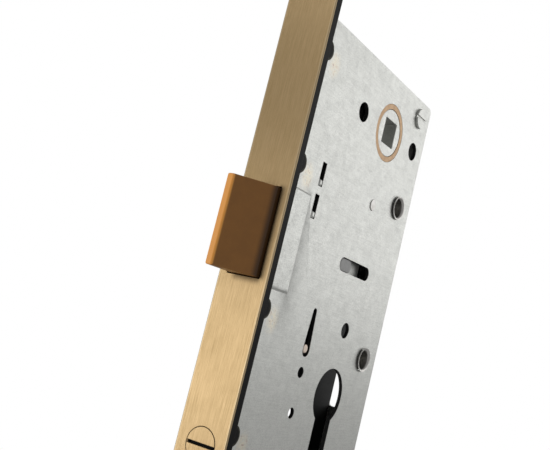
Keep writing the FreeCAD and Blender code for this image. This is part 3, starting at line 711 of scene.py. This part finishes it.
def flared_tube(outer, rim, wall, end):
    """A tube along Y at the origin, its ends rolled outwards to the rim and its wall inwards."""
    bpy.ops.object.select_all(action="DESELECT")
    straight = end - 1.6 * wall
    bpy.ops.mesh.primitive_cylinder_add(
        vertices=64, radius=outer, depth=2 * straight, end_fill_type="NOTHING", rotation=(pi / 2, 0, 0)
    )
    tube = bpy.context.object
    bpy.ops.object.transform_apply(location=True, rotation=True, scale=True)
    rolls = 7
    for side in (-1, 1):
        edit(tube, "EDGE")
        pick(tube, "edges", lambda middle: middle.y * side > straight - 0.01 * MM)
        radius, level = outer, straight
        for turn in range(1, rolls + 1):
            angle = pi / 2 * turn / rolls
            wider = outer + (rim - outer) * (1 - cos(angle))
            further = straight + (end - straight) * sin(angle)
            bpy.ops.mesh.extrude_edges_move()
            bpy.ops.transform.translate(value=(0, side * (further - level), 0))
            ratio = wider / radius
            bpy.ops.transform.resize(
                value=(ratio, 1, ratio), center_override=(0, side * further, 0)
            )
            radius, level = wider, further
        done()
    edit(tube)
    bpy.ops.mesh.select_all(action="SELECT")
    bpy.ops.mesh.normals_make_consistent(inside=False)
    done()
    thickness = tube.modifiers.new("wall", "SOLIDIFY")
    thickness.thickness = wall
    thickness.offset = 1
    thickness.use_even_offset = False
    apply_all(tube)
    return tube


class LOCK_OT_eyelets(Operator):
    """Roll the tubular rivets over at both faces of the case"""

    bl_idname = "lock.eyelets"
    bl_label = "Tubular rivets"

    def execute(self, context):
        low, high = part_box("tubular_rivets")
        rim = (high.x - low.x) / 2
        across = (low.x + high.x) / 2
        rivet = flared_tube(
            EYELET_RADIUS * MM, rim - EYELET_ROLL_IN * MM, EYELET_WALL * MM, high.y - EYELET_SHORT * MM
        )
        other = rivet.copy()
        other.data = rivet.data.copy()
        context.scene.collection.objects.link(other)
        rivet.location = (across, 0, low.z + rim)
        other.location = (across, 0, high.z - rim)
        use_only(rivet)
        other.select_set(True)
        bpy.ops.object.transform_apply(location=True, rotation=True, scale=True)
        bpy.ops.object.join()
        rivet.name = "tubular_rivets_rolled"
        smooth(rivet)
        settle(rivet, "tubular_rivets", turned_steel())
        return {"FINISHED"}


class LOCK_OT_fastenings(Operator):
    """Finish the cover screws, their posts and the cylinder's screw"""

    bl_idname = "lock.fastenings"
    bl_label = "Screws and posts"

    def execute(self, context):
        width = context.scene.lock_edges.turned
        refine("cover_screws", width, zinc())
        refine("spacer_posts", width, turned_steel())
        refine("cylinder_screw", width, brass())
        return {"FINISHED"}


class LOCK_OT_latch(Operator):
    """Finish the latch head, its tail, the shoe that slides in the cover and their rivets"""

    bl_idname = "lock.latch"
    bl_label = "Latch"

    def execute(self, context):
        edges = context.scene.lock_edges
        head = copy_of("latch_head")
        smooth(head)
        settle(head, "latch_head", brown_moulding())
        refine("latch_tail", edges.stamped, zinc())
        refine("tail_shoe", edges.moulded, grey_moulding(), 3)
        refine("latch_rivets", edges.stamped, turned_steel())
        guide = copy_of("latch_guide")
        low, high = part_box("latch_guide")
        round_ends(guide, low.y, high.y, 0.7 * MM)
        break_edges(guide, edges.sheet, edges.steps)
        settle(guide, "latch_guide", zinc())
        return {"FINISHED"}


class LOCK_OT_follower(Operator):
    """Finish the follower, its arm, its two bushes and the spring's anchor"""

    bl_idname = "lock.follower"
    bl_label = "Follower"

    def execute(self, context):
        edges = context.scene.lock_edges
        refine("follower_hub", edges.turned, zinc())
        refine("follower_arm", edges.stamped, zinc())
        refine("follower_bush_cover", edges.turned, bronze())
        refine("follower_bush_tray", edges.turned, bronze())
        refine("spring_anchor", edges.turned, turned_steel())
        return {"FINISHED"}


class LOCK_OT_lever(Operator):
    """Finish the lever that draws the latch back, with its bush, post and sleeves"""

    bl_idname = "lock.lever"
    bl_label = "Latch lever"

    def execute(self, context):
        edges = context.scene.lock_edges
        refine("latch_lever", edges.stamped, zinc())
        refine("lever_bush", edges.turned, bronze())
        refine("lever_post", edges.turned, turned_steel())
        refine("lever_sleeves", edges.turned, turned_steel())
        return {"FINISHED"}


class LOCK_OT_deadlock(Operator):
    """Finish the deadlocking slide, its peg and its guide pin"""

    bl_idname = "lock.deadlock"
    bl_label = "Deadlocking slide"

    def execute(self, context):
        edges = context.scene.lock_edges
        refine("deadlock_slide", edges.stamped, black_steel())
        refine("deadlock_peg", edges.moulded, pale_peg(), 4)
        refine("slide_pin", edges.turned, turned_steel())
        return {"FINISHED"}


class LOCK_OT_springs(Operator):
    """Finish the springs and the seat of the latch spring"""

    bl_idname = "lock.springs"
    bl_label = "Springs"

    def execute(self, context):
        refine("spring_seat", context.scene.lock_edges.stamped, turned_steel())
        latch_spring = copy_of("latch_spring")
        smooth(latch_spring, 60)
        settle(latch_spring, "latch_spring", spring_wire())
        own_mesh(latch_spring)
        for node in ("follower_spring", "detent_spring"):
            frame["nodes"][node].data.materials.clear()
            frame["nodes"][node].data.materials.append(spring_wire())
        return {"FINISHED"}


# ---- stage ------------------------------------------------------------------


def add_floor():
    """A pale round floor under the lock."""
    bpy.ops.object.select_all(action="DESELECT")
    bpy.ops.mesh.primitive_circle_add(
        vertices=128, radius=FLOOR_RADIUS, fill_type="NGON",
        location=(*FLOOR_MIDDLE, CAD_BOX[0][2] - FLOOR_GAP),
    )
    floor = bpy.context.object
    floor.name = "floor"
    made = Finish("pale_floor")
    grain = made.noise(0.02, 2, 0.5)
    base = made.mix(grain * 0.2, (0.86, 0.86, 0.86), (0.82, 0.82, 0.82))
    floor.data.materials.append(made.surface(base, 0.7, made.relief(grain, 0.001)))


def add_card(name, power):
    """A soft rectangular light that faces the lock."""
    place, size = CARDS[name]
    light = bpy.data.lights.new(name, "AREA")
    light.shape = "RECTANGLE"
    light.size, light.size_y = size
    light.energy = power
    card = bpy.data.objects.new(name, light)
    bpy.context.scene.collection.objects.link(card)
    card.location = place
    card.rotation_euler = (Vector(LIT_POINT) - Vector(place)).to_track_quat("-Z", "Y").to_euler()


def add_room(strength):
    """A white surround that lights the lock less than it shows."""
    world = bpy.data.worlds.new("room")
    bpy.context.scene.world = world
    world.use_nodes = True
    nodes, links = world.node_tree.nodes, world.node_tree.links
    nodes.clear()
    rays = nodes.new("ShaderNodeLightPath")
    shown, lit = nodes.new("ShaderNodeBackground"), nodes.new("ShaderNodeBackground")
    shown.inputs["Strength"].default_value = 1
    lit.inputs["Strength"].default_value = strength
    for background in (shown, lit):
        background.inputs["Color"].default_value = (1, 1, 1, 1)
    blend = nodes.new("ShaderNodeMixShader")
    out = nodes.new("ShaderNodeOutputWorld")
    links.new(rays.outputs["Is Camera Ray"], blend.inputs[0])
    links.new(lit.outputs[0], blend.inputs[1])
    links.new(shown.outputs[0], blend.inputs[2])
    links.new(blend.outputs[0], out.inputs["Surface"])


def add_camera(studio):
    """The camera, turned to its azimuth and elevation and then rolled about its view."""
    data = bpy.data.cameras.new("camera")
    data.lens = studio.lens
    data.sensor_width = 36
    data.clip_start = 0.01
    camera = bpy.data.objects.new("camera", data)
    bpy.context.scene.collection.objects.link(camera)
    level = cos(studio.elevation)
    ahead = Vector((sin(studio.azimuth) * level, cos(studio.azimuth) * level, -sin(studio.elevation)))
    facing = ahead.to_track_quat("-Z", "Y").to_matrix().to_4x4()
    camera.matrix_world = (
        Matrix.Translation(studio.place) @ facing @ Matrix.Rotation(studio.roll, 4, "Z")
    )
    bpy.context.scene.camera = camera


class LOCK_OT_stage(Operator):
    """Set up the floor, the lights and the camera"""

    bl_idname = "lock.stage"
    bl_label = "Studio"

    def execute(self, context):
        studio = context.scene.lock_studio
        context.scene.view_settings.view_transform = "Standard"
        add_floor()
        add_room(studio.room)
        add_card("left_card", studio.left)
        add_card("right_card", studio.right)
        add_card("top_card", studio.top)
        add_camera(studio)
        return {"FINISHED"}


# ---- add-on -----------------------------------------------------------------

STEPS = (
    LOCK_OT_forend,
    LOCK_OT_case,
    LOCK_OT_eyelets,
    LOCK_OT_fastenings,
    LOCK_OT_latch,
    LOCK_OT_follower,
    LOCK_OT_lever,
    LOCK_OT_deadlock,
    LOCK_OT_springs,
    LOCK_OT_stage,
)


class LOCK_PT_pieces(Panel):
    """Lists the steps that finish the lock, with their sizes and colours"""

    bl_idname = "LOCK_PT_pieces"
    bl_label = "Mortise Lock"
    bl_space_type = "VIEW_3D"
    bl_region_type = "UI"
    bl_category = "Lock"

    def draw(self, context):
        scene = context.scene
        for step in STEPS:
            self.layout.operator(step.bl_idname)
        for group in (scene.lock_edges, scene.lock_colours, scene.lock_studio):
            box = self.layout.box()
            for name in group.__annotations__:
                box.prop(group, name)


GROUPS = {"lock_edges": LockEdges, "lock_colours": LockColours, "lock_studio": LockStudio}


def register():
    for item in (*GROUPS.values(), *STEPS, LOCK_PT_pieces):
        bpy.utils.register_class(item)
    for name, group in GROUPS.items():
        setattr(bpy.types.Scene, name, PointerProperty(type=group))


def unregister():
    for name in GROUPS:
        delattr(bpy.types.Scene, name)
    for item in reversed((*GROUPS.values(), *STEPS, LOCK_PT_pieces)):
        bpy.utils.unregister_class(item)


def main():
    register()
    for step in STEPS:
        area, name = step.bl_idname.split(".")
        getattr(getattr(bpy.ops, area), name)()


if __name__ == "__main__":
    main()
